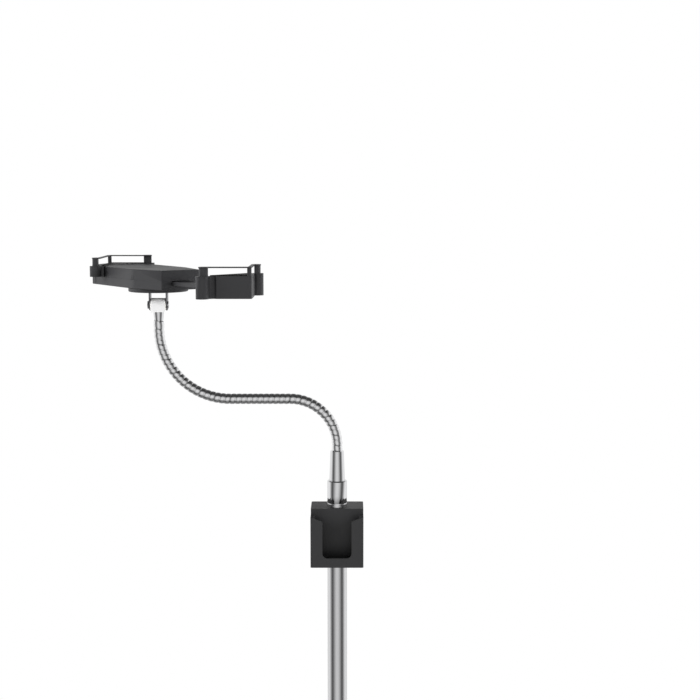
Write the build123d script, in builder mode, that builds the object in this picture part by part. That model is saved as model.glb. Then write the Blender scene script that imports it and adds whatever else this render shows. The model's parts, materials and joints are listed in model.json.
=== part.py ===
from build123d import *

import os
from math import asin, atan2, cos, degrees, hypot, radians, sin, tan

# Adjustable floor stand for a flat device, in millimetres.
# The origin is the centre of the base pad's underside, +Z is up, and the front of the stand faces -Y.
# The gooseneck lies in the XZ plane and the holder hangs over the stand's -X side.

os.makedirs("parts", exist_ok=True)

# Clearances shared by the whole stand
fit = 0.05  # radial clearance of a piece that is pressed, screwed or glued in place
running_fit = 0.1  # radial clearance of a piece that turns or slides in another
slide_gap = 0.3  # gap beside moulded pieces that slide or turn
overrun = 2.0  # how far a cut runs past the face that it opens

# Base
cover_radius = 150.0
cover_wall = 1.2
weight_gap = 3.8  # between the weight's rim and the cover's skirt
weight_radius = cover_radius - cover_wall - weight_gap
weight_thickness = 12.0
weight_chamfer = 3.0
floor_pad_inset = 7.0
pad_radius = weight_radius - floor_pad_inset
pad_thickness = 2.0
cover_edge_radius = 7.0
cover_floor_gap = 0.6
base_bolt_radius = 5.0
base_bolt_head_radius = 8.0
base_bolt_head_height = 5.0
base_bolt_socket_radius = 3.4
base_bolt_grip = 24.0
base_washer_radius = 13.0
base_washer_thickness = 1.6
flange_radius = 30.0
flange_height = 11.0
flange_rim_height = 2.5
flange_fillet_radius = 6.0

# Lower tube, its plug and its guide bush
lower_tube_radius = 12.7
lower_tube_wall = 1.2
lower_tube_length = 624.0
plug_length = 30.0
bush_wall_lip = 1.2
bush_length = 40.0
bush_lip_height = 1.5

# Upper tube and glide plug
upper_tube_radius = 10.65
upper_tube_wall = 1.0
upper_tube_length = 680.0
pole_top_height = 1005.5
glide_skirt_height = 14.0
glide_spigot_length = 18.0

# Height clamp, knob, stud and shoe
clamp_radius = 19.0
clamp_grip = 30.0
clamp_head = 28.0
clamp_edge_radius = 1.5
clamp_boss_radius = 8.0
clamp_boss_reach = 24.0
clamp_cavity_gap = 0.4
stud_radius = 3.0
stud_embed = 12.0
stud_chamfer = 0.5
shoe_radius = 4.5
shoe_thickness = 2.4
shoe_gap = 0.3
knob_gap = 1.0
knob_radius = 17.0
knob_length = 18.0
knob_lobes = 6
knob_flute_radius = 6.0
knob_flute_depth = 2.2
knob_neck_radius = 9.0
knob_neck_length = 4.0

# Accessory pocket
pocket_width = 56.5
pocket_height = 60.0
pocket_drop = 2.5
pocket_block_back = 22.0
pocket_block_front = 12.9
pocket_reach = 18.5
pocket_wall = 3.0
pocket_front_wall = 3.0
pocket_floor = 4.0
pocket_shoulder_drop = 6.0
pocket_shoulder_slope = 4.0
pocket_slot_width = 31.0
pocket_slot_rise = 10.0
pocket_slot_fillet = 5.0
pocket_corner_radius = 2.0
set_screw_radius = 2.0
set_screw_length = 9.0
set_screw_socket_radius = 1.0
set_screw_socket_depth = 2.5
pocket_screw_spacing = 36.0

# Collar and lower ferrule
collar_length = 26.1
collar_chamfer = 0.9
collar_spigot_length = 20.0
collar_groove_depth = 0.4
collar_groove_height = 0.7
collar_groove_rise = 1.2
stem_radius = 5.0
stem_length = 22.0
collar_screw_rise = 13.0
ferrule_height = 31.9
ferrule_foot_radius = 8.3
ferrule_top_radius = 7.2
ferrule_foot_band = 3.0
ferrule_socket_depth = 12.0

# Gooseneck
rib_crest_radius = 5.7
rib_valley_radius = 4.6
rib_pitch = 5.7
rib_shares = (0.12, 0.34, 0.66, 0.88)
neck_bore_radius = 1.5
neck_shank_radius = 4.3
neck_gap = 1.2
neck_ball_radius = 3.6
neck_ball_clearance = 0.15
lower_straight = 6.4
lower_bend_radius = 50.5
lower_bend_joints = 7
middle_straight = 64.0
upper_bend_radius = 75.5
upper_bend_joints = 7
upper_straight = 8.4
bend_angle = 90.0
tip_shank_radius = 3.2

# Upper ferrule, pivot block, clevis
tip_ferrule_height = 9.9
tip_ferrule_foot_radius = 4.6
tip_ferrule_top_radius = 5.8
block_width = 15.5
block_radius = 7.2
block_foot = 7.4
block_edge_radius = 0.5
pivot_radius = 2.5
pivot_head_radius = 3.8
pivot_head_height = 1.0
pivot_slot_width = 1.0
pivot_slot_depth = 0.5
pivot_nut_flats = 8.0
pivot_nut_height = 1.8
pivot_washer_radius = 6.0
pivot_washer_thickness = 0.5
ear_thickness = 1.3
ear_radius = 6.0
clevis_rise = 14.6
clevis_plate_thickness = 1.5
clevis_bend_radius = 1.0

# Swivel disc
disc_radius = 31.6
disc_thickness = 3.8
disc_edge_radius = 0.9
disc_boss_radius = 7.0
disc_boss_gap = 0.3
retainer_radius = 9.5
retainer_thickness = 0.8
swivel_screw_head_radius = 4.5
swivel_screw_head_height = 1.3
swivel_screw_socket_radius = 1.8
swivel_screw_socket_depth = 0.8

# Device that the holder is drawn open for
device_width = 178.5
device_length = 247.6
device_thickness = 6.0
device_corner_radius = 10.0
holder_offset = 34.5  # from the swivel axis to the middle of the device, along the holder

# Holder housing, in the holder's own directions: along it towards the moving jaw, and across it
shell_gap = 0.2
housing_height = 20.5
housing_split = 9.5
housing_wall = 2.0
housing_end = 49.0
housing_end_half_width = 22.0
housing_half_width = 32.0
housing_seam = 85.0
seam_gap = 0.2
seam_line_width = 0.9
seam_line_depth = 0.7
seam_line_rise = 1.5
housing_shoulder = 93.5
cover_roof = 2.2
housing_edge_radius = 0.8
hub_clearance = 0.1
screw_boss_radius = 3.6
shell_screw_radius = 1.5
shell_screw_head_radius = 2.8
shell_screw_head_height = 1.8
shell_screw_length = 14.0
shell_screw_recess = 0.4
boss_inset_front = 13.0
boss_front_across = 16.8
boss_inset_back = 16.5
boss_back_across = 23.0
boss_inset_end = 12.0
boss_end_across = 13.0

# Rack arm, its guides, pawl, spring and release button
rack_width = 20.0
rack_thickness = 4.0
rack_rise = 5.0
rack_inside = 75.0
rack_in_jaw = 17.0
tooth_pitch = 3.0
tooth_width = 1.3
tooth_depth = 0.6
tooth_slant = 45.0
tooth_margin = 6.0
rail_width = 2.0
rail_back = 73.0
rest_width = 2.0
rest_place = 20.0
press_rib_width = 1.4
press_rib_across = 8.0
pawl_along = 14.0
pawl_across = 14.0
pawl_place = 24.0
pawl_body = 1.05
pawl_tooth_height = 0.45
pawl_gap = 0.15
pawl_drop = 0.7
pawl_ear = 5.0
pawl_ear_lip = 0.1
pawl_flat = 2.4
button_travel = 2.5
wedge_gap = 0.15
button_width = 5.0
button_length = 10.0
button_proud = 0.3
button_cap_depth = 6.0
button_shank_width = 5.0
button_rise = 5.5
button_shank_top = 4.6
button_shank_foot = 2.6
spring_thickness = 0.2
spring_bow = 0.25
spring_length = 12.0
spring_width = 5.0

# Jaws
moving_long_leg = 48.8
moving_short_leg = 46.0
fixed_long_leg = 66.0
fixed_short_leg = 45.0
post_offset = 2.0
post_radius = 4.4
post_back = 1.3
post_gap = 0.4
leg_end_offset = 2.9
leg_end_radius = 6.2
flute_radius = 3.2
flute_from_end = 10.5
flute_depth = 1.6
moving_jaw_height = 21.6
jaw_top_rise = 21.0
jaw_top_gap = 1.0
lip_thickness = 1.2
lip_gap = 0.8
lip_overhang = 2.5
lip_edge = 0.4
corner_post_radius = 2.1
corner_post_gap = 0.2
corner_post_skin = 0.2
jaw_shell_wall = 2.4
jaw_roof = 3.0
rack_slot_reach = 7.0
jaw_cover_thickness = 2.0
jaw_screw_radius = 1.5
jaw_screw_head_radius = 2.8
jaw_screw_head_height = 1.5
jaw_screw_bite = 6.0
jaw_screw_inset = 4.2
jaw_screw_spacing = 6.5
cover_screw_head_height = 1.6
pad_thickness_top = 0.9
pad_inset = 3.0
taper_gap = 2.6
taper_half_width = 2.0
leg_inner_width = 6.0
leg_outer_room = 12.0
cover_screw_from_corner = 32.0
cover_screw_in = 6.0


def save(piece, name):
    """Label a finished piece and write it to its own file."""
    piece.part.label = name
    export_step(piece.part, f"parts/{name}.step")


def level(height):
    """The horizontal plane through the stand's axis at a height."""
    return Plane.XY.offset(height)


def back_plane(height, reach):
    """A plane that faces the back of the stand, at a height and a distance behind its axis."""
    return Plane(origin=(0, reach, height), x_dir=(-1, 0, 0), z_dir=(0, 1, 0))


# Base, from the floor up
weight_z = pad_thickness
cover_under_z = weight_z + weight_thickness + fit
cover_top_z = cover_under_z + cover_wall
flange_top_z = cover_top_z + flange_height
plug_bore_radius = base_bolt_radius + fit
washer_z = weight_z + base_bolt_head_height

with BuildPart() as base_pad:
    with BuildSketch(level(0)):
        Circle(pad_radius)
    extrude(amount=pad_thickness)
save(base_pad, "base_pad")

with BuildPart() as base_weight:
    with BuildSketch(level(weight_z)):
        Circle(weight_radius)
        Circle(base_bolt_radius + fit, mode=Mode.SUBTRACT)
    extrude(amount=weight_thickness)
    with BuildSketch(level(weight_z)):
        Circle(base_washer_radius + running_fit)
    extrude(amount=base_bolt_head_height + base_washer_thickness, mode=Mode.SUBTRACT)
    chamfer(base_weight.edges().filter_by(GeomType.CIRCLE).sort_by(SortBy.RADIUS)[-2:], weight_chamfer)
save(base_weight, "base_weight")

with BuildPart() as base_cover:
    with BuildSketch(Plane.XZ) as cover_profile:
        with BuildLine():
            Polyline(
                (lower_tube_radius + fit, cover_under_z),
                (cover_radius - cover_wall, cover_under_z),
                (cover_radius - cover_wall, cover_floor_gap),
                (cover_radius, cover_floor_gap),
                (cover_radius, cover_top_z),
                (lower_tube_radius + fit, cover_top_z),
                close=True,
            )
        make_face()
        rim_points = cover_profile.vertices().group_by(Axis.X)[-1].sort_by(Axis.Y)[-1:]
        fillet(rim_points, cover_edge_radius)
        inner_points = cover_profile.vertices().group_by(Axis.Y)[-2].sort_by(Axis.X)[-1:]
        fillet(inner_points, cover_edge_radius - cover_wall)
    revolve(axis=Axis.Z)
save(base_cover, "base_cover")

with BuildPart() as base_flange:
    with BuildSketch(Plane.XZ):
        with BuildLine():
            inner = lower_tube_radius + fit
            outer = lower_tube_radius + flange_rim_height
            Line((inner, cover_top_z), (flange_radius, cover_top_z))
            Line((flange_radius, cover_top_z), (flange_radius, cover_top_z + flange_rim_height))
            Line(
                (flange_radius, cover_top_z + flange_rim_height),
                (outer + flange_fillet_radius, cover_top_z + flange_rim_height),
            )
            RadiusArc(
                (outer + flange_fillet_radius, cover_top_z + flange_rim_height),
                (outer, cover_top_z + flange_rim_height + flange_fillet_radius),
                flange_fillet_radius,
            )
            Line((outer, cover_top_z + flange_rim_height + flange_fillet_radius), (outer, flange_top_z))
            Line((outer, flange_top_z), (inner, flange_top_z))
            Line((inner, flange_top_z), (inner, cover_top_z))
        make_face()
    revolve(axis=Axis.Z)
save(base_flange, "base_flange")

with BuildPart() as base_washer:
    with BuildSketch(level(washer_z)):
        Circle(base_washer_radius)
        Circle(base_bolt_radius + fit, mode=Mode.SUBTRACT)
    extrude(amount=base_washer_thickness)
save(base_washer, "base_washer")

with BuildPart() as base_bolt:
    with BuildSketch(level(weight_z)):
        Circle(base_bolt_head_radius)
    extrude(amount=base_bolt_head_height)
    with BuildSketch(level(washer_z)):
        Circle(base_bolt_radius)
    extrude(amount=base_bolt_grip)
    with BuildSketch(level(weight_z)):
        RegularPolygon(base_bolt_socket_radius, 6)
    extrude(amount=base_bolt_head_height / 2, mode=Mode.SUBTRACT)
save(base_bolt, "base_bolt")

# Lower tube
lower_tube_z = weight_z + weight_thickness
lower_tube_top_z = lower_tube_z + lower_tube_length
lower_tube_bore = lower_tube_radius - lower_tube_wall

with BuildPart() as lower_tube:
    with BuildSketch(level(lower_tube_z)):
        Circle(lower_tube_radius)
        Circle(lower_tube_bore, mode=Mode.SUBTRACT)
    extrude(amount=lower_tube_length)
save(lower_tube, "lower_tube")

with BuildPart() as tube_plug:
    with BuildSketch(level(lower_tube_z)):
        Circle(lower_tube_bore - fit)
        Circle(plug_bore_radius, mode=Mode.SUBTRACT)
    extrude(amount=plug_length)
save(tube_plug, "tube_plug")

with BuildPart() as guide_bush:
    with BuildSketch(level(lower_tube_top_z - bush_length)):
        Circle(lower_tube_bore - fit)
    extrude(amount=bush_length)
    with BuildSketch(level(lower_tube_top_z)):
        Circle(lower_tube_bore + bush_wall_lip)
    extrude(amount=bush_lip_height)
    with BuildSketch(level(lower_tube_top_z - bush_length)):
        Circle(upper_tube_radius + running_fit)
    extrude(amount=bush_length + bush_lip_height, mode=Mode.SUBTRACT)
save(guide_bush, "guide_bush")

# Height clamp, with its stud along +X
clamp_z = lower_tube_top_z - clamp_grip
stud_z = lower_tube_top_z + clamp_head / 2
shoe_x = upper_tube_radius + shoe_gap
stud_x = shoe_x + shoe_thickness + fit
stud_plane = Plane(origin=(0, 0, stud_z), x_dir=(0, 1, 0), z_dir=(1, 0, 0))

with BuildPart() as height_clamp:
    with BuildSketch(level(clamp_z)):
        Circle(clamp_radius)
    extrude(amount=clamp_grip + clamp_head)
    fillet(height_clamp.edges().filter_by(GeomType.CIRCLE), clamp_edge_radius)
    with BuildSketch(stud_plane):
        Circle(clamp_boss_radius)
    extrude(amount=clamp_boss_reach)
    with BuildSketch(level(clamp_z)):
        Circle(lower_tube_radius + fit)
    extrude(amount=clamp_grip, mode=Mode.SUBTRACT)
    with BuildSketch(level(lower_tube_top_z)):
        Circle(lower_tube_bore + bush_wall_lip + fit)
    extrude(amount=bush_lip_height + fit, mode=Mode.SUBTRACT)
    with BuildSketch(level(lower_tube_top_z)):
        Circle(upper_tube_radius + clamp_cavity_gap)
    extrude(amount=clamp_head + overrun, mode=Mode.SUBTRACT)
    with BuildSketch(stud_plane):
        Circle(shoe_radius + fit)
    extrude(amount=stud_x, mode=Mode.SUBTRACT)
    with BuildSketch(stud_plane):
        Circle(stud_radius + running_fit)
    extrude(amount=clamp_boss_reach + overrun, mode=Mode.SUBTRACT)
save(height_clamp, "height_clamp")

with BuildPart() as clamp_shoe:
    with BuildSketch(stud_plane.offset(shoe_x)):
        Circle(shoe_radius)
    extrude(amount=shoe_thickness)
save(clamp_shoe, "clamp_shoe")

knob_x = clamp_boss_reach + knob_gap

with BuildPart() as knob_stud:
    with BuildSketch(stud_plane.offset(stud_x)):
        Circle(stud_radius)
    extrude(amount=knob_x - stud_x + stud_embed)
    chamfer(knob_stud.edges().sort_by(Axis.X)[0], stud_chamfer)
save(knob_stud, "knob_stud")

with BuildPart() as height_knob:
    with BuildSketch(stud_plane.offset(knob_x)):
        Circle(knob_neck_radius)
    extrude(amount=knob_neck_length)
    with BuildSketch(stud_plane.offset(knob_x + knob_neck_length)):
        Circle(knob_radius)
        with PolarLocations(knob_radius + knob_flute_radius - knob_flute_depth, knob_lobes):
            Circle(knob_flute_radius, mode=Mode.SUBTRACT)
    extrude(amount=knob_length - knob_neck_length)
    fillet(height_knob.faces().sort_by(Axis.X)[-1].edges(), clamp_edge_radius)
    with BuildSketch(stud_plane.offset(knob_x)):
        Circle(stud_radius + fit)
    extrude(amount=stud_embed, mode=Mode.SUBTRACT)
save(height_knob, "height_knob")

# Upper tube and what is fixed to it
upper_tube_z = pole_top_height - upper_tube_length
upper_tube_bore = upper_tube_radius - upper_tube_wall

with BuildPart() as upper_tube:
    with BuildSketch(level(upper_tube_z)):
        Circle(upper_tube_radius)
        Circle(upper_tube_bore, mode=Mode.SUBTRACT)
    extrude(amount=upper_tube_length)
save(upper_tube, "upper_tube")

with BuildPart() as glide_plug:
    with BuildSketch(level(upper_tube_z - glide_skirt_height)):
        Circle(lower_tube_bore - running_fit)
    extrude(amount=glide_skirt_height)
    with BuildSketch(level(upper_tube_z)):
        Circle(upper_tube_bore - fit)
    extrude(amount=glide_spigot_length)
save(glide_plug, "glide_plug")

pocket_top_z = pole_top_height - pocket_drop
pocket_z = pocket_top_z - pocket_height
pocket_front_y = -pocket_block_front - pocket_reach
pocket_screw_low_z = pocket_z + (pocket_height - pocket_screw_spacing) / 2
shoulder_z = pocket_top_z - pocket_shoulder_drop

with BuildPart() as accessory_pocket:
    with BuildSketch(level(pocket_z)) as pocket_plan:
        with Locations((0, (pocket_block_back + pocket_front_y) / 2)):
            Rectangle(pocket_width, pocket_block_back - pocket_front_y)
        fillet(pocket_plan.vertices(), pocket_corner_radius)
    extrude(amount=pocket_height)
    with BuildSketch(Plane.XZ.offset(pocket_block_front)):
        with BuildLine():
            inner_x = pocket_slot_width / 2
            Polyline(
                (-pocket_width / 2 - overrun, pocket_top_z + overrun),
                (-pocket_width / 2 - overrun, shoulder_z),
                (-pocket_width / 2, shoulder_z),
                (-inner_x, shoulder_z - pocket_shoulder_slope),
                (inner_x, shoulder_z - pocket_shoulder_slope),
                (pocket_width / 2, shoulder_z),
                (pocket_width / 2 + overrun, shoulder_z),
                (pocket_width / 2 + overrun, pocket_top_z + overrun),
                close=True,
            )
        make_face()
    extrude(amount=pocket_reach + overrun, mode=Mode.SUBTRACT)
    with BuildSketch(level(pocket_z + pocket_floor)) as pocket_room:
        room_depth = pocket_reach - pocket_front_wall
        with Locations((0, pocket_front_y + pocket_front_wall + room_depth / 2)):
            Rectangle(pocket_width - 2 * pocket_wall, room_depth)
        fillet(pocket_room.vertices(), pocket_corner_radius)
    extrude(amount=pocket_height, mode=Mode.SUBTRACT)
    with BuildSketch(Plane.XZ.offset(-pocket_front_y - pocket_front_wall - overrun)) as pocket_slot:
        with Locations((0, pocket_z + pocket_slot_rise + pocket_height / 2)):
            Rectangle(pocket_slot_width, pocket_height)
        fillet(pocket_slot.vertices().group_by(Axis.Y)[0], pocket_slot_fillet)
    extrude(amount=pocket_front_wall + 2 * overrun, mode=Mode.SUBTRACT)
    with BuildSketch(level(pocket_z)):
        Circle(upper_tube_radius + running_fit)
    extrude(amount=pocket_height, mode=Mode.SUBTRACT)
    for row in range(2):
        screw_z = pocket_screw_low_z + row * pocket_screw_spacing
        with BuildSketch(back_plane(screw_z, 0)):
            Circle(set_screw_radius + fit)
        extrude(amount=pocket_block_back + overrun, mode=Mode.SUBTRACT)
save(accessory_pocket, "accessory_pocket")

with BuildPart() as pocket_screws:
    for row in range(2):
        screw_z = pocket_screw_low_z + row * pocket_screw_spacing
        with BuildSketch(back_plane(screw_z, upper_tube_radius + fit)):
            Circle(set_screw_radius)
        extrude(amount=set_screw_length)
        with BuildSketch(back_plane(screw_z, upper_tube_radius + fit + set_screw_length)):
            RegularPolygon(set_screw_socket_radius, 6)
        extrude(amount=-set_screw_socket_depth, mode=Mode.SUBTRACT)
save(pocket_screws, "pocket_screws")

# Collar on the upper end of the pole, with a stem hole for the neck
collar_top_z = pole_top_height + collar_length

with BuildPart() as neck_collar:
    with BuildSketch(level(pole_top_height)):
        Circle(upper_tube_radius)
    extrude(amount=collar_length)
    chamfer(neck_collar.edges().sort_by(Axis.Z)[-1], collar_chamfer)
    with BuildSketch(level(pole_top_height + collar_groove_rise)):
        Circle(upper_tube_radius + overrun)
        Circle(upper_tube_radius - collar_groove_depth, mode=Mode.SUBTRACT)
    extrude(amount=collar_groove_height, mode=Mode.SUBTRACT)
    with BuildSketch(level(pole_top_height - collar_spigot_length)):
        Circle(upper_tube_bore - fit)
    extrude(amount=collar_spigot_length)
    with BuildSketch(level(collar_top_z)):
        Circle(stem_radius + running_fit)
    extrude(amount=-stem_length - slide_gap, mode=Mode.SUBTRACT)
    with BuildSketch(back_plane(pole_top_height + collar_screw_rise, stem_radius)):
        Circle(set_screw_radius + fit)
    extrude(amount=upper_tube_radius, mode=Mode.SUBTRACT)
save(neck_collar, "neck_collar")

with BuildPart() as collar_screw:
    with BuildSketch(back_plane(pole_top_height + collar_screw_rise, stem_radius + slide_gap)):
        Circle(set_screw_radius)
    extrude(amount=upper_tube_radius - stem_radius - slide_gap)
    with BuildSketch(back_plane(pole_top_height + collar_screw_rise, upper_tube_radius)):
        RegularPolygon(set_screw_socket_radius, 6)
    extrude(amount=-set_screw_socket_depth, mode=Mode.SUBTRACT)
save(collar_screw, "collar_screw")

# Lower ferrule, which turns in the collar
ferrule_z = collar_top_z + running_fit
ferrule_top_z = ferrule_z + ferrule_height

with BuildPart() as lower_ferrule:
    with BuildSketch(Plane.XZ):
        with BuildLine():
            Polyline(
                (0, ferrule_z - stem_length),
                (stem_radius, ferrule_z - stem_length),
                (stem_radius, ferrule_z),
                (ferrule_foot_radius, ferrule_z),
                (ferrule_foot_radius, ferrule_z + ferrule_foot_band),
                (ferrule_top_radius, ferrule_top_z),
                (neck_shank_radius + fit, ferrule_top_z),
                (neck_shank_radius + fit, ferrule_top_z - ferrule_socket_depth),
                (0, ferrule_top_z - ferrule_socket_depth),
                close=True,
            )
        make_face()
    revolve(axis=Axis.Z)
save(lower_ferrule, "lower_ferrule")


def ribbed_length(base, length, rib_count, first_inset, last_inset):
    """A ruled loft of ribs along a length that starts on a base plane, for the part being built."""
    pitch = length / rib_count
    radii = (rib_valley_radius, rib_crest_radius, rib_crest_radius, rib_valley_radius)
    sections = []
    for rib in range(rib_count):
        for share, radius in zip(rib_shares, radii):
            station = (rib + share) * pitch
            if rib == 0 and share == rib_shares[0]:
                station = first_inset
            if rib == rib_count - 1 and share == rib_shares[-1]:
                station = length - last_inset
            with BuildSketch(base.offset(station)) as section:
                Circle(radius)
            sections.append(section.sketch)
    loft(sections, ruled=True)


def neck_plane(x, z, lean):
    """The plane square to the neck at a point, with its axis leaning from +Z towards -X."""
    direction = (-sin(radians(lean)), 0, cos(radians(lean)))
    return Plane(origin=(x, 0, z), x_dir=(0, 1, 0), z_dir=direction)


def joint_points(start, lean, turn, radius, count):
    """Hinge points of a bend, with the lean of the length that leaves each one."""
    half_step = radius * tan(radians(abs(turn) / count / 2))
    x, z = start
    points = []
    step = half_step
    for index in range(count):
        x -= step * sin(radians(lean))
        z += step * cos(radians(lean))
        lean += turn / count
        points.append((x, z, lean))
        step = 2 * half_step
    return points


# The neck rises, turns left through a quarter, runs level, and turns up through a quarter
lower_points = joint_points(
    (0, ferrule_top_z + lower_straight), 0, bend_angle, lower_bend_radius, lower_bend_joints
)
level_z = ferrule_top_z + lower_straight + lower_bend_radius
upper_start = (-lower_bend_radius - middle_straight, level_z)
upper_points = joint_points(upper_start, bend_angle, -bend_angle, upper_bend_radius, upper_bend_joints)
tip_x = upper_start[0] - upper_bend_radius
tip_z = level_z + upper_bend_radius + upper_straight


def ribs_in(length):
    """How many ribs fill a length of the neck."""
    return max(1, round(length / rib_pitch))


root_length = lower_points[0][1] - ferrule_top_z

with BuildPart() as neck_root:
    ribbed_length(level(ferrule_top_z), root_length, ribs_in(root_length), 0, neck_gap)
    with BuildSketch(level(ferrule_top_z - ferrule_socket_depth)):
        Circle(neck_shank_radius)
    extrude(amount=ferrule_socket_depth)
    with Locations(level(lower_points[0][1])):
        Sphere(neck_ball_radius + neck_ball_clearance, mode=Mode.SUBTRACT)
    with BuildSketch(level(ferrule_top_z - ferrule_socket_depth)):
        Circle(neck_bore_radius)
    extrude(amount=ferrule_socket_depth + root_length, mode=Mode.SUBTRACT)
save(neck_root, "neck_root")

links = [("neck_lower", index + 1, point) for index, point in enumerate(lower_points)]
links += [("neck_upper", index + 1, point) for index, point in enumerate(upper_points)]

for (group, number, (x, z, lean)), (_, _, (next_x, next_z, _)) in zip(links, links[1:]):
    link_length = hypot(next_x - x, next_z - z)
    is_middle = group == "neck_lower" and number == lower_bend_joints
    name = "neck_middle" if is_middle else f"{group}_{number}"
    base = neck_plane(x, z, lean)
    with BuildPart() as neck_link:
        ribbed_length(base, link_length, ribs_in(link_length), neck_gap, neck_gap)
        with Locations(base):
            Sphere(neck_ball_radius)
        with Locations(base.offset(link_length)):
            Sphere(neck_ball_radius + neck_ball_clearance, mode=Mode.SUBTRACT)
        with BuildSketch(base.offset(-neck_ball_radius)):
            Circle(neck_bore_radius)
        extrude(amount=neck_ball_radius + link_length, mode=Mode.SUBTRACT)
    save(neck_link, name)

last_x, last_z, _ = upper_points[-1]
tip_length = tip_z - last_z

base = neck_plane(last_x, last_z, 0)

with BuildPart() as neck_tip:
    ribbed_length(base, tip_length, ribs_in(tip_length), neck_gap, 0)
    with Locations(base):
        Sphere(neck_ball_radius)
    with BuildSketch(base.offset(tip_length)):
        Circle(tip_shank_radius)
    extrude(amount=tip_ferrule_height)
    with BuildSketch(base.offset(-neck_ball_radius)):
        Circle(neck_bore_radius)
    extrude(amount=neck_ball_radius + tip_length, mode=Mode.SUBTRACT)
save(neck_tip, "neck_tip")


def tip_level(height):
    """The horizontal plane through the neck's upper end at a height."""
    return Plane(origin=(tip_x, 0, height))


def pivot_plane(reach):
    """A plane that faces +X on the pivot axis, at a distance from the middle of the pivot block."""
    return Plane(origin=(tip_x + reach, 0, pivot_z), x_dir=(0, 1, 0), z_dir=(1, 0, 0))


# Upper ferrule and pivot block
block_z = tip_z + tip_ferrule_height
pivot_z = block_z + block_foot
ear_inner = block_width / 2 + running_fit + pivot_washer_thickness
ear_outer = ear_inner + ear_thickness
clevis_z = pivot_z + clevis_rise
disc_z = clevis_z

with BuildPart() as upper_ferrule:
    with BuildSketch(tip_level(tip_z)):
        Circle(tip_ferrule_foot_radius)
    with BuildSketch(tip_level(block_z)):
        Circle(tip_ferrule_top_radius)
    loft(ruled=True)
    with BuildSketch(tip_level(tip_z)):
        Circle(tip_shank_radius + fit)
    extrude(amount=tip_ferrule_height, mode=Mode.SUBTRACT)
save(upper_ferrule, "upper_ferrule")

with BuildPart() as pivot_block:
    with BuildSketch(pivot_plane(-block_width / 2)):
        Circle(block_radius)
        with Locations((0, -block_foot / 2)):
            Rectangle(2 * block_radius, block_foot)
    extrude(amount=block_width)
    fillet(pivot_block.faces().sort_by(Axis.X)[0].edges(), block_edge_radius)
    fillet(pivot_block.faces().sort_by(Axis.X)[-1].edges(), block_edge_radius)
    with BuildSketch(pivot_plane(-block_width / 2)):
        Circle(pivot_radius + running_fit)
    extrude(amount=block_width, mode=Mode.SUBTRACT)
save(pivot_block, "pivot_block")

with BuildPart() as clevis:
    for reach in (-ear_outer, ear_inner):
        with BuildSketch(pivot_plane(reach)):
            Circle(ear_radius)
            with Locations((0, (clevis_rise + clevis_plate_thickness) / 2)):
                Rectangle(2 * ear_radius, clevis_rise + clevis_plate_thickness)
            Circle(pivot_radius + fit, mode=Mode.SUBTRACT)
        extrude(amount=ear_thickness)
    with BuildSketch(tip_level(clevis_z)):
        Rectangle(2 * ear_outer, 2 * ear_radius)
        Circle(pivot_radius + fit, mode=Mode.SUBTRACT)
    extrude(amount=clevis_plate_thickness)
    bend_edges = clevis.edges().filter_by(Axis.Y).group_by(Axis.Z)[-1]
    fillet(bend_edges, clevis_bend_radius)
save(clevis, "clevis")

with BuildPart() as pivot_washers:
    for reach in (-ear_inner, ear_inner - pivot_washer_thickness):
        with BuildSketch(pivot_plane(reach)):
            Circle(pivot_washer_radius)
            Circle(pivot_radius + fit, mode=Mode.SUBTRACT)
        extrude(amount=pivot_washer_thickness)
save(pivot_washers, "pivot_washers")

with BuildPart() as pivot_screw:
    with BuildSketch(pivot_plane(-ear_outer - pivot_nut_height)):
        Circle(pivot_radius)
    extrude(amount=2 * ear_outer + pivot_nut_height)
    with BuildSketch(pivot_plane(ear_outer)):
        Circle(pivot_head_radius)
    extrude(amount=pivot_head_height)
    with BuildSketch(pivot_plane(ear_outer + pivot_head_height)):
        Rectangle(2 * pivot_head_radius, pivot_slot_width)
    extrude(amount=-pivot_slot_depth, mode=Mode.SUBTRACT)
save(pivot_screw, "pivot_screw")

with BuildPart() as pivot_nut:
    with BuildSketch(pivot_plane(-ear_outer)):
        RegularPolygon(pivot_nut_flats / 2, 6, major_radius=False)
        Circle(pivot_radius + fit, mode=Mode.SUBTRACT)
    extrude(amount=-pivot_nut_height)
save(pivot_nut, "pivot_nut")

# Swivel disc, its retainer and its screw
housing_z = disc_z + disc_thickness + shell_gap
hub_top_z = housing_z + housing_wall + disc_boss_gap
retainer_top_z = hub_top_z + retainer_thickness

with BuildPart() as swivel_disc:
    with BuildSketch(tip_level(disc_z)):
        Circle(disc_radius)
    extrude(amount=disc_thickness)
    fillet(swivel_disc.edges().group_by(Axis.Z)[0], disc_edge_radius)
    with BuildSketch(tip_level(disc_z + disc_thickness)):
        Circle(disc_boss_radius)
    extrude(amount=hub_top_z - disc_z - disc_thickness)
    with BuildSketch(tip_level(disc_z)):
        Rectangle(2 * ear_outer + 2 * fit, 2 * ear_radius + 2 * fit)
    extrude(amount=clevis_plate_thickness, mode=Mode.SUBTRACT)
    with BuildSketch(tip_level(disc_z)):
        Circle(pivot_radius + fit)
    extrude(amount=hub_top_z - disc_z, mode=Mode.SUBTRACT)
save(swivel_disc, "swivel_disc")

with BuildPart() as swivel_retainer:
    with BuildSketch(tip_level(hub_top_z)):
        Circle(retainer_radius)
        Circle(pivot_radius + fit, mode=Mode.SUBTRACT)
    extrude(amount=retainer_thickness)
save(swivel_retainer, "swivel_retainer")

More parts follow.
